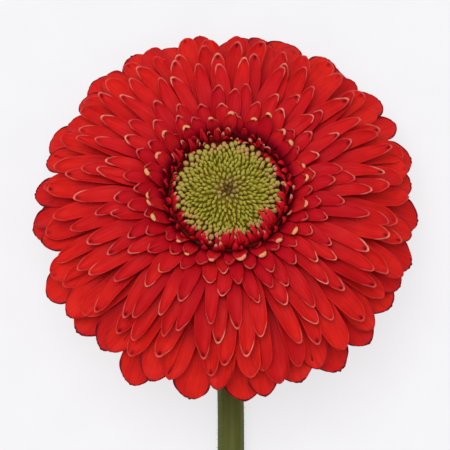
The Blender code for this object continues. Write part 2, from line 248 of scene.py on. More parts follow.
# The light, and the floor, which is far wider than any view.
SKY_STRENGTH = 0.5
SUN_STRENGTH = 1.75
SUN_WIDTH = radians(40)
SUN_TURN = (radians(-16), radians(-8), 0)
FLOOR_REACH = 30.0

# The camera looks straight down, with the disc's middle on the photograph's pixel and at its scale.
PHOTO_SIDE = 450
PHOTO_DISC = (228, 187.5)
BLOOM_WIDTH = 110 * MM
BLOOM_PIXELS = 383
PIXEL = BLOOM_WIDTH / BLOOM_PIXELS
SCALE_HEIGHT = 28 * MM
CAMERA_DISTANCE = 0.75


def mix(ends, share):
    return ends[0] + (ends[1] - ends[0]) * share


def smooth(x):
    x = np.clip(x, 0, 1)
    return x * x * (3 - 2 * x)


def unit(vectors):
    return vectors / (np.linalg.norm(vectors, axis=-1, keepdims=True) + 1e-12)


HEAD = np.array(Matrix.Translation(HEAD_BASE) @ Matrix.Rotation(-HEAD_LEAN, 4, "X"))


def to_world(points):
    """Points in the head's frame, in the world."""
    return points @ HEAD[:3, :3].T + HEAD[:3, 3]


def laid_on_surface(points, clearance):
    """World points, bent up where they would reach closer to the floor than the clearance."""
    laid = points.copy()
    laid[..., 2] = clearance + SURFACE_GIVE * np.logaddexp(0, (points[..., 2] - clearance) / SURFACE_GIVE)
    return laid


def linked(name, data):
    """A new object, linked into the scene."""
    made = bpy.data.objects.new(name, data)
    bpy.context.scene.collection.objects.link(made)
    return made


# Meshes from grids of points


def quads(grid):
    """The four corners of each cell of a grid, from any array over its points."""
    corners = [grid[:-1, :-1], grid[1:, :-1], grid[1:, 1:], grid[:-1, 1:]]
    return np.stack(corners, 2).reshape(-1, 4, *grid.shape[2:])


class Shape:
    """Points, faces, map places and point values, gathered into one mesh."""

    def __init__(self):
        self.size = 0
        self.points = []
        self.faces = []
        self.corners = []
        self.values = []

    def add(self, points, faces, corners, values):
        self.points.append(points.reshape(-1, 3))
        self.faces += (faces + self.size).tolist()
        self.corners.append(corners.reshape(-1, 2))
        self.values.append(values)
        self.size += len(self.points[-1])

    def build(self, name, look, node):
        """The piece that stands in for a node, or for a part of it."""
        mesh = bpy.data.meshes.new(name)
        mesh.from_pydata(np.concatenate(self.points).tolist(), [], self.faces)
        for key in self.values[0]:
            attribute = mesh.attributes.new(key, "FLOAT", "POINT")
            parts = [np.ravel(values[key]) for values in self.values]
            attribute.data.foreach_set("value", np.concatenate(parts).astype(np.float32))
        layer = mesh.uv_layers.new(name=MAP_NAME)
        layer.data.foreach_set("uv", np.concatenate(self.corners).astype(np.float32).ravel())
        mesh.materials.append(look.material)
        mesh.shade_smooth()
        piece = linked(name, mesh)
        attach(piece, BODY)
        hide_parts(node)


def cell(number, total, share=(0, 1), gap=0.02):
    """The corner and size of one of a total of equal cells of the map, or of a share of its width."""
    across = math.ceil(math.sqrt(total))
    side = 1 / across
    left = (number % across + share[0] + gap / 2) * side
    low = (number // across + gap / 2) * side
    return left, low, side * (share[1] - share[0] - gap), side * (1 - gap)


def map_places(rows, columns, place):
    """A grid of map coordinates that fills a cell."""
    left, low, width, height = place
    x, y = np.meshgrid(np.linspace(left, left + width, columns), np.linspace(low, low + height, rows))
    return np.stack([x, y], 2)


def add_leaf(shape, middle, half_thick, values, number, total):
    """A closed leaf: an upper and an under skin round a grid of middle points, joined along the margin."""
    rows, columns = half_thick.shape
    upward = unit(np.cross(np.gradient(middle, axis=0), np.gradient(middle, axis=1)))
    offset = upward * half_thick[..., None]
    upper = np.arange(rows * columns).reshape(rows, columns)
    under = upper.copy()
    inside = np.s_[1:-1, 1:-1]
    under[inside] = rows * columns + np.arange((rows - 2) * (columns - 2)).reshape(rows - 2, columns - 2)
    points = np.concatenate([(middle + offset).reshape(-1, 3), (middle - offset)[inside].reshape(-1, 3)])
    faces = np.concatenate([quads(upper), quads(under)[:, ::-1]])
    skins = [quads(map_places(rows, columns, cell(number, total, half))) for half in ((0, 0.5), (0.5, 1))]
    corners = np.concatenate([skins[0], skins[1][:, ::-1]])
    both = {key: np.concatenate([value.ravel(), value[inside].ravel()]) for key, value in values.items()}
    both["under"] = np.concatenate([np.zeros(rows * columns), np.ones((rows - 2) * (columns - 2))])
    shape.add(points, faces, corners, both)


def ends_drawn(grid):
    """What a grid holds at each point, with its first and its last ring each drawn together to their mean."""
    return np.concatenate([grid[:1].mean(1), grid[1:-1].reshape(-1, *grid.shape[2:]), grid[-1:].mean(1)])


def add_turned(shape, points, values, number=0, total=1, looped=False):
    """A closed surface from rings of points, looped to the first ring or drawn to a point at each end."""
    rings, sides = points.shape[:2]
    if looped:
        index = np.arange(rings * sides).reshape(rings, sides)
        index = np.concatenate([index, index[:1]])
    else:
        points = ends_drawn(points)
        values = {key: ends_drawn(value) for key, value in values.items()}
        index = np.full((rings, sides), len(points) - 1)
        index[0] = 0
        index[1:-1] = 1 + np.arange((rings - 2) * sides).reshape(rings - 2, sides)
    index = np.concatenate([index, index[:, :1]], 1)
    halves = ((0, 1, 2), (0, 2, 3))
    faces = np.concatenate([quads(index)[:, half] for half in halves])
    places = quads(map_places(*index.shape, cell(number, total)))
    corners = np.concatenate([places[:, half] for half in halves])
    whole = (faces != np.roll(faces, 1, axis=1)).all(1)
    shape.add(points, faces[whole], corners[whole], values)


# Materials


class Look:
    """A material with its Principled shader, the colour painted so far, and short ways to make nodes."""

    def __init__(self, name, roughness, specular=0.5, sheen=0):
        self.material = bpy.data.materials.new(name)
        self.material.use_nodes = True
        self.tree = self.material.node_tree
        self.shader = self.tree.nodes["Principled BSDF"]
        self.painted = None
        self.shader.inputs["Roughness"].default_value = roughness
        self.shader.inputs["Specular IOR Level"].default_value = specular
        self.shader.inputs["Sheen Weight"].default_value = sheen

    def feed(self, socket, value):
        """Links a socket's source, or sets its number, or its colour from red, green and blue."""
        if isinstance(value, bpy.types.NodeSocket):
            self.tree.links.new(value, socket)
        else:
            socket.default_value = (*value, 1) if isinstance(value, tuple) else value

    def node(self, kind, *given, **settings):
        """A new node, whose first sockets are fed in their order."""
        made = self.tree.nodes.new(kind)
        for key, value in settings.items():
            setattr(made, key, value)
        for socket, value in zip(made.inputs, given):
            self.feed(socket, value)
        return made

    def value(self, name):
        return self.node("ShaderNodeAttribute", attribute_name=name).outputs["Fac"]

    def values(self, *names):
        return [self.value(name) for name in names]

    def math(self, operation, *given):
        return self.node("ShaderNodeMath", *given, operation=operation).outputs[0]

    def span(self, value, start, end, first=0, last=1):
        """The value from start to end, smoothly spread from first to last."""
        given = (value, start, end, first, last)
        return self.node("ShaderNodeMapRange", *given, interpolation_type="SMOOTHSTEP").outputs["Result"]

    def times(self, *factors):
        """The product of factors, where a factor in brackets is a span."""
        factors = [self.span(*factor) if isinstance(factor, tuple) else factor for factor in factors]
        product = factors[0]
        for factor in factors[1:]:
            product = self.math("MULTIPLY", product, factor)
        return product

    def blend(self, share, first, second):
        made = self.node("ShaderNodeMix", share, data_type="RGBA")
        self.feed(made.inputs[6], first)
        self.feed(made.inputs[7], second)
        return made.outputs[2]

    def place(self, x, y, z):
        return self.node("ShaderNodeCombineXYZ", x, y, z).outputs[0]

    def noise(self, place, scale, detail=2):
        return self.node("ShaderNodeTexNoise", place, 0, scale, detail).outputs["Fac"]

    def noise_everywhere(self, scale):
        return self.noise(self.node("ShaderNodeTexCoord").outputs["Object"], scale, 3)

    def strap_noise(self, stretch, scale, detail=2):
        """A noise over a strap, its own by its tone, and drawn out along it."""
        along, across, tone = self.values("along_mm", "across_mm", "tone")
        place = self.place(across, self.times(along, stretch), self.times(tone, 91))
        return self.noise(place, scale, detail)

    def bump(self, height, distance, strength=1):
        made = self.node("ShaderNodeBump", strength, distance)
        self.feed(made.inputs["Height"], height)
        self.feed(self.shader.inputs["Normal"], made.outputs["Normal"])

    def paint(self, colour, *factors):
        """Lays a colour over what is painted so far, as strongly as the product of its factors."""
        self.painted = self.blend(self.times(*factors), self.painted, colour) if factors else colour
        self.feed(self.shader.inputs["Base Color"], self.painted)


def petal_look():
    look = Look("red petal", roughness=0.55, specular=0.07)
    along, across, edge, tip = look.values("along_mm", "across_mm", "edge_mm", "tip_mm")
    tone, inward, under = look.values("tone", "inward", "under")
    strength, chance = (look.math("FRACT", look.times(tone, spread)) for spread in (13, 7))
    streaks = look.strap_noise(0.09, 1.5, 3)
    clouds = look.strap_noise(1, 0.16)
    grain = look.strap_noise(0.35, 5)

    # The flesh: scarlet outside, crimson inside, each petal in its own tone. Painted shade darkens it away
    # from the tip and at the root, where petals lie under their neighbours.
    look.paint((0.7, 0.016, 0.01))
    look.paint((0.53, 0.005, 0.015), (inward, 0.2, 0.9))
    look.paint((0.78, 0.02, 0.012), (tone, 0.3, 1, 0, 0.4))
    look.paint((0.44, 0.003, 0.01), (tone, 0, 0.35, 0.45, 0))
    look.paint((0.46, 0.004, 0.01), (clouds, 0.35, 0.7, 0, 0.35))
    look.paint((0.44, 0.003, 0.008), (streaks, 0.42, 0.66, 0, 0.34))
    # Painted shade: darker away from the tip, where the petals lie under their neighbours.
    look.paint((0.38, 0.001, 0.01), (tip, 6, 17, 0, 0.4))
    # Painted shade: nearly black at the root, deep among the crowded petals.
    look.paint((0.12, 0, 0.01), (along, 1, 6, 0.85, 0))

    # Painted shade: a dark slit inside some of the tips, where the hollow of the spoon lies in shadow.
    off_middle = look.math("ABSOLUTE", across)
    slit_shade = look.times((tip, 0.5, 0.8), (tip, 1.2, 2.8, 1, 0), (off_middle, 0.15, 0.95, 1, 0))
    look.paint((0.13, 0, 0.005), slit_shade, (inward, 0.1, 0.3, 0.1, 0.95), (strength, 0.25, 0.85, 0.2, 1))

    # A pale rim round the tip, brighter on one side, and paler on the inner petals.
    reach = look.span(inward, 0.5, 0.9, 5, 2.5)
    width = look.times((tip, 0, 3, 0.76, 0.42), (strength, 0.2, 1, 0.85, 1.4))
    side = look.times(across, look.math("SIGN", look.math("SUBTRACT", chance, 0.5)))
    rim = look.times((edge, 0.2, width, 1, 0), (tip, 1, reach, 1, 0))
    rim = look.times(rim, (side, -1.8, 0.6, 0.3, 1), (strength, 0, 0.5, 0.5, 1))
    rim = look.times(rim, (inward, 0.08, 0.62, 0.4, 1), (inward, 0.88, 0.92, 1, 0.2))
    pink = look.blend(look.span(tone, 0.4, 0.9), (0.75, 0.135, 0.11), (0.84, 0.31, 0.22))
    look.paint(look.blend(look.span(inward, 0.15, 0.5), (0.7, 0.06, 0.05), pink), rim)

    # Painted shade along the turned-down margin at the tips of the outermost petals, and a duller underside.
    # Painted shade: the margin near the tips of the outermost petals is darkened, as if in shadow.
    look.paint((0.1, 0.002, 0.01), (edge, 0.35, 0.95, 1, 0), (inward, 0.08, 0.24, 0.95, 0), (tip, 4, 9, 1, 0))
    look.paint((0.4, 0.02, 0.02), under, 0.6)
    look.bump(look.math("ADD", look.times(grain, 0.5), streaks), 0.00016, 0.6)
    look.feed(look.shader.inputs["Roughness"], look.span(streaks, 0.3, 0.7, 0.5, 0.62))
    return look


def rim_look():
    """The pale rim at an inner floret's tip: apricot, redder towards its ends."""
    look = Look("apricot rim", roughness=0.5, specular=0.2)
    across, around, tone = look.values("across", "around", "tone")
    mottle = look.noise(look.place(look.times(across, 2), around, tone), 1.2)
    look.paint((0.74, 0.4, 0.14))
    look.paint((0.76, 0.3, 0.16), (tone, 0.2, 0.8))
    look.paint((0.7, 0.2, 0.1), (mottle, 0.4, 0.7, 0, 0.5))
    look.paint((0.62, 0.06, 0.04), (look.math("ABSOLUTE", across), 0.6, 1, 0, 0.8))
    look.bump(mottle, 0.0001, 0.5)
    return look


def trans_look():
    """Crimson, darkened at the root as painted shade deep in the furrow, with cream tips on some."""
    look = Look("crimson trans floret", roughness=0.55, specular=0.1)
    along, tip, tone = look.values("along_mm", "tip_mm", "tone")
    streaks = look.strap_noise(0.2, 2.2)
    look.paint((0.68, 0.012, 0.02))
    look.paint((0.46, 0.004, 0.016), (streaks, 0.35, 0.7))
    # Painted shade: dark at the root, deep in the furrow.
    look.paint((0.13, 0.01, 0.009), (along, 0.5, 3.6, 0.7, 0))
    look.paint((0.66, 0.3, 0.17), (tip, 0.4, 1.3, 1, 0), (tone, 0.42, 0.6))
    look.bump(streaks, 0.00015, 0.6)
    return look


def bud_look():
    """Yellow green, brown in the disc's middle, paler and in part pinkish at its edge; painted shade makes it
    nearly black in the central dimple and darker at the foot, between the buds.
    """
    look = Look("disc bud", roughness=0.5, specular=0.2)
    share, height, around, tone = look.values("share", "height", "around", "tone")
    mottle = look.noise(look.place(around, height, look.times(tone, 53)), 2.4)
    look.paint((0.36, 0.32, 0.028))
    look.paint((0.48, 0.41, 0.06), tone)
    look.paint((0.5, 0.39, 0.1), (share, 0.62, 0.95, 0, 0.7))
    look.paint((0.56, 0.24, 0.11), (share, 0.66, 0.95), (tone, 0.6, 0.8, 0, 0.8))
    look.paint((0.42, 0.26, 0.1), (share, 0.08, 0.34, 0.9, 0))
    # Painted shade: nearly black in the very middle, in the dimple's hollow.
    look.paint((0.1, 0.045, 0.012), (share, 0.07, 0.13, 0.9, 0))
    look.paint((0.26, 0.22, 0.02), (mottle, 0.4, 0.7, 0, 0.3))
    # Painted shade: darker towards the foot, between the crowded buds.
    look.paint((0.26, 0.19, 0.012), (height, 0.3, 0.8, 1, 0))
    look.bump(mottle, 0.00012, 0.5)
    return look


def growth_look(name, first, second, scale):
    """The look of a plain uneven growth, in two colours."""
    look = Look(name, roughness=0.8, specular=0.03)
    mottle = look.noise_everywhere(scale)
    look.paint(first)
    look.paint(second, (mottle, 0.35, 0.65))
    look.bump(mottle, 0.0003, 0.6)
    return look


def ground_look():
    """The disc between its buds: olive brown, with painted shade making it dark maroon in the gaps at the
    edge and dark in the dimple in the middle.
    """
    look = growth_look("disc ground", (0.23, 0.165, 0.009), (0.31, 0.22, 0.015), 900)
    radius = look.value("radius_mm")
    # Painted shade: dark maroon in the gaps between the edge buds.
    look.paint((0.17, 0.018, 0.006), (radius, 10.5, 13.5))
    # Painted shade: dark in the dimple in the middle.
    look.paint((0.07, 0.03, 0.006), (radius, 1, 3, 0.9, 0))
    return look


def bract_look():
    """Streaked green, paler at the margin and brown at the very tip."""
    look = Look("green bract", roughness=0.62, specular=0.2, sheen=0.05)
    streaks = look.strap_noise(0.12, 2, 3)
    look.paint((0.16, 0.24, 0.05))
    look.paint((0.09, 0.15, 0.028), (streaks, 0.35, 0.7))
    look.paint((0.3, 0.33, 0.12), (look.value("edge_mm"), 0.15, 0.5, 0.6, 0))
    look.paint((0.13, 0.05, 0.03), (look.value("tip_mm"), 0.3, 2, 0.8, 0))
    look.bump(streaks, 0.0002, 0.7)
    return look


def stem_look():
    """Olive green with fine streaks, and a pale cut face."""
    look = Look("olive stem", roughness=0.55, specular=0.2)
    along, right, up, cut = look.values("along_mm", "right_mm", "up_mm", "cut_mm")
    streaks = look.noise(look.place(right, up, look.times(along, 0.03)), 1.1, 3)
    clouds = look.noise(look.place(right, up, along), 0.09)
    look.paint((0.074, 0.084, 0.011))
    look.paint((0.096, 0.108, 0.016), (streaks, 0.38, 0.64))
    look.paint((0.08, 0.1, 0.012), (clouds, 0.35, 0.7, 0, 0.5))
    flesh = look.noise(look.place(right, up, 0), 1.6, 3)
    pale = look.blend(look.span(flesh, 0.35, 0.65), (0.5, 0.56, 0.28), (0.66, 0.68, 0.42))
    pale = look.blend(look.span(cut, 1, 1.5, 0, 0.5), pale, (0.3, 0.38, 0.12))
    pale = look.blend(look.span(cut, 3, 3.8, 0, 0.5), pale, (0.74, 0.72, 0.5))
    look.paint(pale, (cut, 0.45, 0.75))
    look.bump(streaks, 0.0003, 0.6)
    return look


def down_look():
    """Pale hairs, greener at the root."""
    look = Look("pale down", roughness=0.6, specular=0.2)
    tone, out = look.values("tone", "out")
    look.paint((0.14, 0.16, 0.04))
    look.paint(look.blend(tone, (0.3, 0.33, 0.14), (0.5, 0.5, 0.3)), (out, 0, 0.6))
    return look


def floor_look():
    """A pale floor, lit from below as well as above, so that shadows on it stay faint."""
    look = Look("pale floor", roughness=0.75, specular=0.1)
    look.feed(look.shader.inputs["Emission Color"], (0.985, 0.98, 1))
    look.feed(look.shader.inputs["Emission Strength"], 0.7)
    look.paint((0.22, 0.22, 0.224))
    look.paint((0.235, 0.235, 0.239), (look.noise_everywhere(60), 0.3, 0.7))
    return look


# Florets


def arc_length(reach, first, last):
    """The length of a strap that leaves its root at one slope, ends at the last and reaches this far out."""
    return reach * (last - first) / (math.sin(last) - math.sin(first))


def ray_florets():
    """The sizes and places of the ray florets, from the outermost in."""
    draw = random.Random(RAY_SEED).uniform
    for k in range(RAY_COUNT):
        inward = k / (RAY_COUNT - 1)
        root = (mix(RAY_ROOT_RADIUS, inward), mix(RAY_ROOT_HEIGHT, inward))
        rise = mix(RAY_RISE, inward) + draw(-RAY_RISE_DRAW, RAY_RISE_DRAW)
        fall = mix(RAY_FALL, inward**RAY_INNER_POWER) + draw(-RAY_FALL_DRAW, RAY_FALL_DRAW)
        turn = RAY_START + k * SPIRAL_ANGLE + draw(-RAY_TURN_DRAW, RAY_TURN_DRAW)
        tips = mix(RAY_TIPS, min(1, k / (RAY_COUNT - RAY_IN_RING)) ** RAY_TIPS_POWER)
        reach = tips + draw(*RAY_TIP_DRAW) + RAY_SKEW * (1 - inward) * math.cos(turn - RAY_SKEW_TURN)
        narrowing = 1 - math.exp(-((inward / RAY_WIDE_UNTIL) ** RAY_NARROWS_POWER))
        width = mix(RAY_HALF_WIDTH, narrowing)
        yield SimpleNamespace(
            number=k,
            inward=inward,
            turn=turn,
            root=root,
            length=arc_length(reach - root[0], rise, fall),
            half_width=width * (1 + draw(-RAY_WIDTH_DRAW, RAY_WIDTH_DRAW)),
            rise=rise,
            fall=fall,
            roll=draw(-RAY_ROLL_DRAW, RAY_ROLL_DRAW),
            claw=mix(RAY_CLAW, inward**RAY_INNER_POWER),
            channel=mix(RAY_CHANNEL, inward),
            tip_from=mix(RAY_TIP_FROM, inward**RAY_INNER_POWER),
        )


def short_strap(number, **sizes):
    """A short strap's sizes and place, with what all short straps have in common."""
    shared = {"inward": 1, "claw": TRANS_CLAW, "channel": TRANS_CHANNEL, "tip_from": TRANS_TIP_FROM}
    return SimpleNamespace(number=number, **shared, **sizes)


def trans_florets():
    """The sizes and places of the short straps round the disc."""
    draw = random.Random(TRANS_SEED).uniform
    for k in range(TRANS_COUNT):
        yield short_strap(
            k,
            turn=(k + draw(-TRANS_TURN_DRAW, TRANS_TURN_DRAW)) * math.tau / TRANS_COUNT,
            root=TRANS_ROOT,
            length=TRANS_LENGTH * (1 + draw(*TRANS_LENGTH_DRAW)),
            half_width=TRANS_HALF_WIDTH * (1 + draw(-TRANS_WIDTH_DRAW, TRANS_WIDTH_DRAW)),
            rise=TRANS_RISE,
            fall=draw(*TRANS_FALL),
            roll=draw(-TRANS_ROLL_DRAW, TRANS_ROLL_DRAW),
        )


def inner_lips():
    """The small inner lips of the innermost ray florets, which stand in the furrow."""
    draw = random.Random(LIP_SEED).uniform
    for k in range(LIP_COUNT):
        yield short_strap(
            k,
            turn=(k + draw(-LIP_TURN_DRAW, LIP_TURN_DRAW)) * math.tau / LIP_COUNT,
            root=(draw(*LIP_ROOT_RADIUS), LIP_ROOT_HEIGHT),
            length=draw(*LIP_LENGTH),
            half_width=draw(*LIP_HALF_WIDTH),
            rise=LIP_RISE,
            fall=draw(*LIP_FALL),
            roll=draw(-TRANS_ROLL_DRAW, TRANS_ROLL_DRAW),
        )


def petal_form(floret, draw):
    """What a finer ray floret adds: a spoon tip, a twist, a sideways bend, teeth and a waved edge."""
    inward = floret.inward
    pointed = smooth(inward / RAY_POINTED_BY)
    inner = smooth((inward - 0.72) / 0.2)
    return SimpleNamespace(
        blunt=2.2,
        end=mix((0.36, 0.45), pointed),
        teeth=(1 - smooth(inward / 0.3)) * draw(0.0, 0.012),
        tooth_turn=draw(-0.8, 0.8),
        curl=radians(mix((14, 46), inward) + 18 * (pointed + inner) + draw(-18, 22)),
        curl_from=0.72,
        scoop=mix((0.1, 0.58), pointed) * draw(0.65, 1.25),
        scoop_from=0.5,
        groove=draw(0.03, 0.09) * MM,
        twist=radians(draw(-1, 1) * mix((14, 34), pointed)),
        bend=draw(-0.06, 0.06) * mix((1, 2), pointed),
        wave=draw(0.1, 0.45) * MM * mix((1, 0.35), inward),
        waves=draw(1.2, 2.4),
        wave_turn=draw(0, math.tau),
        tone=draw(0, 1),
        free=False,
    )


def trans_form(floret, draw):
    """What a finer trans floret or inner lip adds to its strap. On one side they crowd in over the disc."""
    towards = 0.5 + 0.5 * math.cos(floret.turn - CROWDED_SIDE)
    crowd = towards**CROWDED_POWER * draw(0.6, 1)
    return SimpleNamespace(
        blunt=1.9,
        end=0.3,
        teeth=draw(0.0, 0.06),
        tooth_turn=draw(-1, 1),
        curl=radians(mix((draw(-60, 45), draw(75, 130)), math.sqrt(crowd))),
        grow=draw(0.65, 1.05) * mix((0.88, 1.65), crowd**2),
        widen=draw(0.45, 0.85) * mix((1, 0.8), crowd),
        curl_from=0.3,
        scoop=draw(0.25, 0.9),
        scoop_from=0.25,
        groove=0.04 * MM,
        twist=radians(draw(-65, 65)),
        bend=draw(-0.12, 0.12),
        wave=draw(0, 0.2) * MM,
        waves=1.5,
        wave_turn=draw(0, math.tau),
        tone=draw(0, 1),
        free=True,
    )


def strap_width(share, floret, form):
    """Half width as a share of its greatest: a narrow claw, then a strap that rounds to its tip."""
    opened = mix((floret.claw, 1), smooth(share / STRAP_OPEN))
    past = np.clip((share - floret.tip_from) / (1 - floret.tip_from), 0, 1)
    blunt = form.blunt
    return opened * (1 - (1 - form.end ** blunt) * past**blunt) ** (1 / blunt)


def strap_arc(floret, form, steps=120):
    """Slopes, reaches and climbs along a strap that curls, within its plain arc's reach unless it is free."""
    fine = np.linspace(0, 1, steps + 1)
    plain = mix((floret.rise, floret.fall), fine)
    curled = plain + form.curl * smooth((fine - form.curl_from) / (1 - form.curl_from)) ** 2
    paths = []
    for angle in (plain, curled):
        middles = (angle[1:] + angle[:-1]) / 2
        moves = np.stack([np.cos(middles), np.sin(middles)]) * floret.length / steps
        paths.append(np.concatenate([np.zeros((2, 1)), np.cumsum(moves, axis=1)], 1))
    if form.free:
        return fine, curled, paths[1]
    limits = [np.abs(path).max(axis=1) for path in paths]
    fit = PETAL_FIT - PETAL_FAR_TRIM * max(0, math.sin(floret.turn)) ** PETAL_FAR_POWER
    fit *= min(1, *(limits[0] / limits[1]))
    return fine, curled, paths[1] * fit


def strap_surface(floret, form, share, side, clearance):
    """World points midway through a strap, the shares of its length where they lie, and its half widths."""
    length = floret.length
    fine, angle, (run, climb) = strap_arc(floret, form)
    half_width = floret.half_width * strap_width(share, floret, form)
    near_tip = smooth((share - 0.75) / 0.25)
    teeth = form.teeth * (0.5 - 0.5 * np.cos(3 * math.pi * side + form.tooth_turn))
    at = np.clip(share - near_tip * (STRAP_TIP_ROUND * side**2 + teeth), 0, 1)

    # Which way is up and across at each point, with the strap's roll and twist.
    slope = np.interp(at, fine, angle)
    zero = np.zeros_like(slope)
    upward = np.stack([-np.sin(slope), zero, np.cos(slope)], -1)
    roll = floret.roll + form.twist * (at - 0.3)
    sideways = np.stack([zero, np.cos(roll), zero], -1) + upward * np.sin(roll)[..., None]

    # The section: bent to an arc, a spoon at the tip, with a waved margin and grooves.
    scooped = smooth((at - form.scoop_from) / (1 - form.scoop_from))
    fold = 2 * (floret.channel + form.scoop * scooped)
    wave = form.wave * np.sin(math.tau * (form.waves * at + form.wave_turn) + side)
    lift = half_width * (1 - np.cos(fold * side)) / fold + wave * np.abs(side) ** 3 * smooth(at / 0.4)
    lift = lift - form.groove * np.cos(3 * math.pi * side) * smooth(at / 0.3) * (1 - near_tip)
    across = half_width * np.sin(fold * side) / fold

    middle = np.stack(
        [
            floret.root[0] + np.interp(at, fine, run),
            form.bend * length * at**2,
            floret.root[1] + np.interp(at, fine, climb),
        ],
        -1,
    )
    middle = middle + sideways * across[..., None] + upward * lift[..., None]
    turn = np.array(Matrix.Rotation(floret.turn, 3, "Z"))
    return laid_on_surface(to_world(middle @ turn.T), clearance), at, half_width


def strap_grid(grid, crowding):
    """Sides from -1 to 1 and shares from 0 to 1 over a strap's grid, closest at its margins and its tip."""
    rows, columns = grid
    shares = 1 - (1 - np.linspace(0, 1, rows)) ** crowding
    return np.meshgrid(np.sin(np.linspace(-1, 1, columns) * math.pi / 2), shares)


def strap_measures(side, share, length, half_width):
    """How far the points of a strap are from its root, middle line, margin and tip."""
    to_tip = (1 - share) * length
    to_edge = np.minimum((1 - np.abs(side)) * half_width, to_tip)
    measures = {"along": share * length, "across": half_width * side, "edge": to_edge, "tip": to_tip}
    return {key + "_mm": measure / MM for key, measure in measures.items()}


def half_thickness(measures, thickness, margin):
    """Half a strap's thickness, which thins out over its margin, root and tip."""
    inside = np.minimum(measures["edge_mm"], measures["along_mm"]) * MM / margin
    return thickness / 2 * np.sqrt(np.clip(inside, 0, 1))


def add_floret(shape, floret, form, grid, thickness, total):
    """One floret as a closed leaf: its strap along an arc, with a spoon tip."""
    side, share = strap_grid(grid, 1.5)
    middle, at, half_width = strap_surface(floret, form, share, side, thickness / 2)
    values = strap_measures(side, share, floret.length, half_width)
    half_thick = half_thickness(values, thickness, PETAL_MARGIN)
    values["along_mm"] = at * floret.length / MM
    values["tone"] = np.full_like(share, form.tone)
    values["inward"] = np.full_like(share, floret.inward)
    add_leaf(shape, middle, half_thick, values, floret.number % total, total)


def add_rim(shape, floret, form, total, draw):
    """The swollen pale rim of an inner floret's tip: a tube along its margin, thickest in the middle."""
    rings, sides = RIM_GRID
    across = np.linspace(-1, 1, rings)
    reach = draw(*RIM_SPAN)
    middle_off = draw(-RIM_OFF, RIM_OFF)
    side = np.clip(across * reach + middle_off * (1 - across**2), -0.98, 0.98)
    share = RIM_FROM - RIM_FALLS * np.abs(side) ** 2.5
    path = strap_surface(floret, form, share, side, 0)[0]
    forward = unit(np.gradient(path, axis=0))
    right = unit(np.cross(forward, HEAD[:3, 2]))
    up = np.cross(right, forward)
    bulge = np.clip(1 - across**2, 0, 1) ** 0.36 + 0.02
    radius = mix(RIM_RADIUS, draw(0, 1)) * bulge
    turns = np.linspace(0, math.tau, sides, endpoint=False)[:, None]
    ring = right[:, None] * np.cos(turns) * RIM_WIDE + up[:, None] * np.sin(turns) * RIM_HIGH
    points = path[:, None] + ring * radius[:, None, None]
    level = np.repeat(across[:, None], sides, 1)
    values = {"across": level, "around": level * 0 + turns[:, 0], "tone": level * 0 + form.tone}
    add_turned(shape, points, values, floret.number % total, total)


def make_ring(name, node, look, profile, looped=False, sides=72):
    """A ring or bowl of the receptacle in the head's frame. Its profile runs up its outer side."""
    turns = np.linspace(math.tau, 0, sides, endpoint=False)
    radius, height = (np.repeat(column[:, None], sides, 1) for column in np.array(profile).T)
    points = to_world(np.stack([radius * np.cos(turns), radius * np.sin(turns), height], 2))
    shape = Shape()
    add_turned(shape, points, {"radius_mm": radius / MM}, looped=looped)
    shape.build(name, look, node)


def make_ray_florets():
    draw = random.Random(PETAL_SEED).uniform
    look = petal_look()
    rows = [Shape() for grid in PETAL_GRIDS]
    in_row = math.ceil(RAY_COUNT / len(rows))
    rims = Shape()
    for floret in ray_florets():
        row = floret.number // in_row
        form = petal_form(floret, draw)
        add_floret(rows[row], floret, form, PETAL_GRIDS[row], PETAL_THICKNESS, in_row)
        if floret.number >= RAY_COUNT - RAY_IN_RING:
            add_rim(rims, floret, form, in_row, draw)
    rims.build("ray_floret_rims", rim_look(), "ray_florets")
    for row, shape in enumerate(rows):
        shape.build(f"ray_florets_row_{row + 1}", look, "ray_florets")
    rim = RAY_ROOT_RADIUS[0] + RAY_RING_RIM
    profile = [
        (rim, SEAT),
        (rim, RAY_ROOT_HEIGHT[0] + RAY_RING_LIP),
        (RAY_ROOT_RADIUS[1] + RAY_RING_LIP, RAY_ROOT_HEIGHT[1] + RAY_RING_LIP),
        (RAY_RING_INNER, TRANS_RING_TOP),
        (RAY_RING_INNER, SEAT),
    ]
    # Painted shade: the ring under the innermost petals is nearly black, as the furrow lies in shadow.
    look = growth_look("crimson ring in painted shade", (0.09, 0, 0.004), (0.16, 0.002, 0.006), 700)
    make_ring("ray_floret_ring", "ray_florets", look, profile, looped=True)


def make_trans_florets():
    draw = random.Random(TRANS_SEED + 1).uniform
    look = trans_look()
    shape = Shape()
    for floret in trans_florets():
        crowded = math.cos(floret.turn - CROWDED_SIDE) > CROWDED_FROM
        for side in (-1, 0, 1) if crowded else (-1, 1):
            form = trans_form(floret, draw)
            strap = SimpleNamespace(**vars(floret))
            strap.number = 3 * floret.number + side + 1
            strap.turn += side * TRANS_APART
            strap.length *= form.grow
            strap.half_width *= form.widen
            add_floret(shape, strap, form, TRANS_GRID, TRANS_THICKNESS, 3 * TRANS_COUNT)
    shape.build("trans_florets_straps", look, "trans_florets")
    lips = Shape()
    for floret in inner_lips():
        add_floret(lips, floret, trans_form(floret, draw), TRANS_GRID, TRANS_THICKNESS, LIP_COUNT)
    lips.build("ray_floret_inner_lips", look, "ray_florets")
    profile = [
        (TRANS_RING_OUTER, SEAT),
        (TRANS_RING_OUTER, TRANS_RING_TOP),
        (TRANS_RING_INNER, TRANS_RING_TOP),
        (TRANS_RING_INNER, SEAT),
    ]
    # Painted shade: the furrow's floor is nearly black, as it lies in shadow.
    look = growth_look("furrow in painted shade", (0.12, 0.01, 0.007), (0.2, 0.018, 0.01), 700)
    make_ring("trans_floret_ring", "trans_florets", look, profile, looped=True)


def dome_height(radius):
    return mix((DISC_DOME_TOP, DISC_DOME_EDGE), np.minimum(radius / DISC_RADIUS, 1) ** 2)


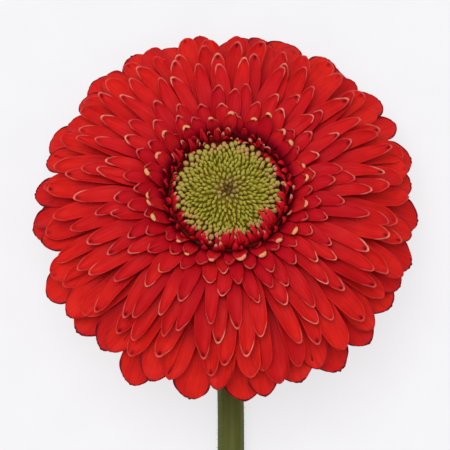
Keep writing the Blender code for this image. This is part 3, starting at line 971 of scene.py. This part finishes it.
def bud_places():
    """The radius of each bud of the spiral, and how far apart the buds stand there."""
    radii = np.linspace(0, BUD_REACH, 400)
    widening = smooth((radii / BUD_REACH - BUD_WIDENS[0]) / (BUD_WIDENS[1] - BUD_WIDENS[0]))
    spacing = mix(BUD_SPACING, widening)
    area = spacing**2 * math.sqrt(3) / 2
    counted = np.concatenate([[0], np.cumsum(math.tau * radii[1:] * np.diff(radii) / area[1:])])
    numbers = np.arange(int(counted[-1])) + 0.5
    return [(float(np.interp(n, counted, radii)), float(np.interp(n, counted, spacing))) for n in numbers]


def add_bud(shape, k, total, radius, spacing, draw):
    """A closed bud: a club of blunt lobes, which leans out, most of all halfway to the disc's edge."""
    share = radius / BUD_REACH
    edge = smooth((share - BUD_EDGE_FROM) / (1 - BUD_EDGE_FROM))
    azimuth = k * SPIRAL_ANGLE
    low_side = 0.5 - 0.5 * math.sin(azimuth)
    radius = radius + draw(-BUD_OFF, BUD_OFF) + edge * draw(*BUD_OFF_AT_EDGE)
    width = spacing * mix(BUD_RADIUS, edge) * draw(*BUD_WIDTH_DRAW)
    rise = mix(BUD_RISE, smooth(share * 1.2)) * draw(*BUD_RISE_DRAW)
    rise *= mix((DIMPLE_RISE, 1), smooth(share / DIMPLE_REACH))
    heights = np.repeat(np.array(BUD_HEIGHTS)[:, None], BUD_SIDES, 1)
    turns = np.linspace(0, math.tau, BUD_SIDES, endpoint=False)
    lobes = 1 + BUD_LOBE_DEPTH * np.cos(BUD_LOBES * turns) * np.clip(heights * 2 - 0.8, 0, 1)
    around = np.array(BUD_WIDTHS)[:, None] * lobes * width
    stretch = mix((1, draw(*BUD_STRETCH)), math.sin(math.pi * min(1, share)) ** 0.5)
    upward = heights * (rise + BUD_SUNK) - BUD_SUNK
    local = np.stack([around * np.cos(turns) * stretch, around * np.sin(turns) / stretch, upward], 2)
    outward = BUD_LEAN[0] * math.sin(math.pi * min(1, share * 1.1)) + BUD_LEAN[1] * share
    lean = outward * mix(BUD_LEAN_BY_SIDE, low_side) + draw(-BUD_LEAN_DRAW, BUD_LEAN_DRAW)
    tilt = Matrix.Rotation(lean, 3, "Y") @ Matrix.Rotation(draw(-BUD_TILT_DRAW, BUD_TILT_DRAW), 3, "X")
    spun = tilt @ Matrix.Rotation(draw(-BUD_SPIN_DRAW, BUD_SPIN_DRAW), 3, "Z")
    turn = Matrix.Rotation(azimuth, 3, "Z")
    local = local @ np.array(spun).T + np.array((radius, 0, float(dome_height(radius))))
    points = to_world(local @ np.array(turn).T)
    values = {
        "share": np.full_like(heights, share),
        "height": heights,
        "around": heights * 0 + turns,
        "tone": np.full_like(heights, draw(0, 1)),
    }
    add_turned(shape, points[:, ::-1], values, k, total)


def make_disc():
    draw = random.Random(DISC_SEED).uniform
    buds = Shape()
    places = bud_places()
    for k, (radius, spacing) in enumerate(places):
        add_bud(buds, k, len(places), radius, spacing, draw)
    buds.build("disc_buds", bud_look(), "disc_florets")
    radii = np.linspace(0, 1, 12) * DISC_RADIUS
    profile = [(0, SEAT), (DISC_RADIUS, SEAT)]
    profile += [(radius, float(dome_height(radius))) for radius in radii[::-1]]
    make_ring("disc_dome", "disc_florets", ground_look(), profile)


# Involucre and stem


def cup_radius(height):
    bowl = np.sin(np.clip(height / CUP_TOP, 0, 1) * math.pi / 2) ** CUP_BULGE
    return mix((CUP_FOOT_RADIUS, CUP_TOP_RADIUS), bowl)


def cup_slope(height):
    """How fast the cup's radius grows with its height."""
    step = 0.1 * MM
    return (cup_radius(height + step) - cup_radius(height)) / step


def add_bract(shape, turn, foot, top, half_width, draw, number, total):
    """A pointed bract that hugs the cup and frees its tip."""
    side, share = strap_grid(BRACT_GRID, 1.3)
    height = mix((foot, top), share)
    slope = cup_slope(height)
    steep = np.sqrt(1 + slope**2)
    freed = np.maximum(0, share - BRACT_FREE_FROM) / (1 - BRACT_FREE_FROM)
    radius = cup_radius(height) + BRACT_TIP_REACH * freed
    past = np.clip((share - BRACT_TAPER_FROM) / (1 - BRACT_TAPER_FROM), 0, 1)
    opened = mix((BRACT_FOOT_WIDTH, 1), smooth(share / BRACT_OPEN))
    width = half_width * opened * np.sqrt(1 - 0.995 * past**BRACT_TAPER)
    proud = mix(BRACT_PROUD, 1 - side**2) + draw(0, BRACT_PROUD_DRAW) * share
    radius_out = radius + proud / steep
    height_out = height - proud * slope / steep
    around = turn + width * side / radius
    middle = np.stack([radius_out * np.cos(around), radius_out * np.sin(around), height_out], 2)
    length = math.hypot(top - foot, float(cup_radius(top) - cup_radius(foot)) + BRACT_TIP_REACH)
    values = strap_measures(side, share, length, width)
    values["tone"] = np.full_like(share, draw(0, 1))
    half_thick = half_thickness(values, BRACT_THICKNESS, BRACT_MARGIN)
    add_leaf(shape, to_world(middle)[:, ::-1], half_thick, values, number, total)


def make_involucre():
    draw = random.Random(BRACT_SEED).uniform
    shape = Shape()
    total = sum(row[0] for row in BRACT_ROWS)
    placed = 0
    for row, (count, foot, top, half_width) in enumerate(BRACT_ROWS):
        for k in range(count):
            turn = (k + row / len(BRACT_ROWS)) * math.tau / count
            add_bract(shape, turn, foot, top, half_width, draw, placed, total)
            placed += 1
    shape.build("involucre_bracts", bract_look(), "involucre")
    heights = np.linspace(0, 1, 16) * CUP_TOP
    wall = [(float(cup_radius(height)), height) for height in heights]
    look = growth_look("green cup", (0.07, 0.11, 0.02), (0.13, 0.19, 0.045), 500)
    make_ring("involucre_cup", "involucre", look, [(0, 0)] + wall + [(0, CUP_TOP)])


def stem_route():
    """The stem's centre line and radii, from its seat under the cup to the cut, by the part's rule."""
    head = Matrix(HEAD.tolist())
    axis = head.to_3x3() @ Vector((0, 0, 1))
    seat = HEAD_BASE - axis * SEAT_GAP
    neck = seat - axis * NECK_STRAIGHT
    turn = math.pi / 2 - HEAD_LEAN
    bend = (neck.z - NECK_RADIUS - STEM_LIFT) / (1 - math.cos(turn))
    centre = neck + Vector((0, -math.cos(HEAD_LEAN), math.sin(HEAD_LEAN))) * bend
    route = [(seat, 0)]
    for k in range(STEM_BEND_POINTS):
        angle = turn * k / (STEM_BEND_POINTS - 1)
        towards = Matrix.Rotation(-angle, 3, "X") @ (neck - centre)
        route.append((centre + towards, NECK_STRAIGHT + bend * angle))
    start, passed = route[-1]
    run = STEM_LENGTH - passed
    for k in range(1, STEM_RUN_POINTS + 1):
        share = k / STEM_RUN_POINTS
        radius = mix((NECK_RADIUS, CUT_RADIUS), (passed + run * share) / STEM_LENGTH)
        lift = STEM_LIFT * (1 - smooth(share / STEM_DOWN_BY))
        bow = STEM_BOW * (max(0, share - STEM_BOW_FROM) / (1 - STEM_BOW_FROM)) ** 2
        sway = STEM_SIDE_SWAY * smooth(share / STEM_SWAY_BY) - bow
        place = Vector((HEAD_BASE.x + sway, start.y - run * share, radius + lift))
        route.append((place, passed + run * share))
    return [(point, mix((NECK_RADIUS, CUT_RADIUS), length / STEM_LENGTH)) for point, length in route]


def stem_rings():
    """Centres, radii, directions, cross frames and lengths along the stem, evenly spaced."""
    route = stem_route()
    points = np.array([point for point, radius in route])
    radii = np.array([radius for point, radius in route])
    reach = np.concatenate([[0], np.cumsum(np.linalg.norm(np.diff(points, axis=0), axis=1))])
    at = np.linspace(0, reach[-1], STEM_GRID[0])
    centres = np.stack([np.interp(at, reach, points[:, axis]) for axis in range(3)], 1)
    for sweep in range(STEM_SMOOTHINGS):
        centres[1:-1] = (centres[:-2] + 2 * centres[1:-1] + centres[2:]) / 4
    centres[-1] += CUT_BACK * (centres[-2] - centres[-1])
    forward = unit(np.gradient(centres, axis=0))
    right = unit(np.array([1.0, 0, 0]) - forward * forward[:, :1])
    return centres, np.interp(at, reach, radii), forward, right, np.cross(forward, right), at


def make_stem():
    sides = STEM_GRID[1]
    centres, radii, forward, right, up, at = stem_rings()
    turns = np.linspace(math.tau, 0, sides, endpoint=False)
    flare = 1 + STEM_FLARE * smooth(1 - at / STEM_FLARE_LENGTH)
    ribs = STEM_RIBS[1] * (0.5 + 0.5 * np.cos(STEM_RIBS[0] * turns))
    hollows = STEM_HOLLOWS[1] * (0.5 + 0.5 * np.sin(STEM_HOLLOWS[0] * turns))
    reach = (radii * flare)[:, None] * (1 - ribs - hollows)
    skin = centres[:, None] + right[:, None] * (reach * np.cos(turns))[..., None]
    skin = skin + up[:, None] * (reach * np.sin(turns))[..., None]
    skin[..., 2] = np.maximum(skin[..., 2], 0)
    rings = [np.repeat(centres[:1], sides, 0), *skin]
    for step, dip in zip(CUT_STEPS, CUT_DIPS_MM):
        rings.append(centres[-1] + (skin[-1] - centres[-1]) * step - forward[-1] * dip * MM)
    steps = np.array(CUT_STEPS)
    along = np.concatenate([[0], at / MM, np.full(len(steps), at[-1] / MM)])
    radius = np.concatenate([[radii[0]], radii, radii[-1] * steps])[:, None] / MM
    cut = np.concatenate([np.zeros(1 + len(at)), (1 - steps) * CUT_RADIUS / MM + CUT_EDGE_MM])
    values = {
        "along_mm": np.repeat(along[:, None], sides, 1),
        "right_mm": radius * np.cos(turns),
        "up_mm": radius * np.sin(turns),
        "cut_mm": np.repeat(cut[:, None], sides, 1),
    }
    shape = Shape()
    add_turned(shape, np.array(rings), values)
    shape.build("stem_skin", stem_look(), "stem")


# Down


def add_hairs(shape, roots, ways, draw):
    """Hairs from their roots and the ways they point."""
    count = len(roots)
    lengths = np.array([draw(*HAIR_LENGTH) for root in roots])[:, None]
    beside = unit(np.cross(ways, HAIR_ASKEW))
    other = np.cross(ways, beside)
    turns = [math.tau * k / 3 for k in range(3)]
    feet = [roots + HAIR_RADIUS * (beside * math.cos(turn) + other * math.sin(turn)) for turn in turns]
    points = np.stack(feet + [roots + ways * lengths], 1)
    faces = np.array([(0, 2, 1), (0, 1, 3), (1, 2, 3), (2, 0, 3)])
    faces = (np.arange(count)[:, None, None] * 4 + faces).reshape(-1, 3)
    across = math.ceil(math.sqrt(count))
    cells = np.stack([np.arange(count) % across, np.arange(count) // across], 1)
    quarters = np.array([(0, 0), (0.5, 0), (0, 0.5), (0.5, 0.5)])
    corners = quarters[:, None] + np.array([(0.05, 0.05), (0.45, 0.05), (0.25, 0.45)])
    corners = (cells[:, None, None] + corners) / across
    values = {
        "tone": np.repeat([draw(0, 1) for root in roots], 4),
        "out": np.tile((0.0, 0.0, 0.0, 1.0), count),
    }
    shape.add(points, faces, corners, values)


def make_down():
    draw = random.Random(DOWN_SEED).uniform

    def draws(count, low, high):
        return np.array([draw(low, high) for k in range(count)])

    def leans(count):
        return draws(3 * count, -1, 1).reshape(count, 3)

    look = down_look()
    centres, radii, forward, right, up, at = stem_rings()
    ring = draws(STEM_HAIRS, 3, len(at) - 3).astype(int)
    turn = draws(STEM_HAIRS, 0, math.tau)[:, None]
    out = right[ring] * np.cos(turn) + up[ring] * np.sin(turn)
    step = draws(STEM_HAIRS, 0, 1)[:, None] * (centres[ring + 1] - centres[ring])
    roots = centres[ring] + step + out * radii[ring][:, None] * STEM_HAIR_ROOT
    ways = unit(out + leans(STEM_HAIRS) * STEM_HAIR_LEAN)
    clear = (roots + ways * HAIR_LENGTH[1])[:, 2] > HAIR_RADIUS
    shape = Shape()
    add_hairs(shape, roots[clear], ways[clear], draw)
    shape.build("stem_down", look, "stem")

    height = draws(BRACT_HAIRS, *BRACT_HAIRS_RISE)
    turn = draws(BRACT_HAIRS, 0, math.tau)
    out = unit(np.stack([np.cos(turn), np.sin(turn), -cup_slope(height)], 1))
    radius = cup_radius(height)
    roots = np.stack([radius * np.cos(turn), radius * np.sin(turn), height], 1) + out * BRACT_HAIR_ROOT
    ways = unit(out + leans(BRACT_HAIRS) * BRACT_HAIR_LEAN) @ HEAD[:3, :3].T
    shape = Shape()
    add_hairs(shape, to_world(roots), ways, draw)
    shape.build("involucre_down", look, "involucre")


# The stage


def make_floor():
    mesh = bpy.data.meshes.new("floor")
    corners = [(x * FLOOR_REACH, y * FLOOR_REACH, 0) for x, y in ((-1, -1), (1, -1), (1, 1), (-1, 1))]
    mesh.from_pydata(corners, [], [(0, 1, 2, 3)])
    mesh.materials.append(floor_look().material)
    floor = linked("floor", mesh)


def make_light():
    world = bpy.data.worlds.new("soft studio")
    world.use_nodes = True
    background = world.node_tree.nodes["Background"]
    background.inputs["Color"].default_value = (1, 1, 1, 1)
    background.inputs["Strength"].default_value = SKY_STRENGTH
    bpy.context.scene.world = world
    sun = bpy.data.lights.new("key", "SUN")
    sun.energy = SUN_STRENGTH
    sun.angle = SUN_WIDTH
    linked("key", sun).rotation_euler = SUN_TURN


def make_camera():
    camera = bpy.data.cameras.new("camera")
    camera.sensor_width = 36
    camera.lens = camera.sensor_width * CAMERA_DISTANCE / (PHOTO_SIDE * PIXEL)
    camera.clip_start = 0.01
    obj = linked("camera", camera)
    disc = to_world(np.array((0, 0, DISC_DOME_TOP + 2 * MM)))
    half = PHOTO_SIDE / 2
    obj.location = (
        disc[0] - (PHOTO_DISC[0] - half) * PIXEL,
        disc[1] - (half - PHOTO_DISC[1]) * PIXEL,
        SCALE_HEIGHT + CAMERA_DISTANCE,
    )
    bpy.context.scene.camera = obj


def main():
    bpy.context.scene.view_settings.view_transform = "Standard"
    make_camera()
    make_light()
    make_floor()
    make_ray_florets()
    make_trans_florets()
    make_disc()
    make_involucre()
    make_stem()
    make_down()


main()
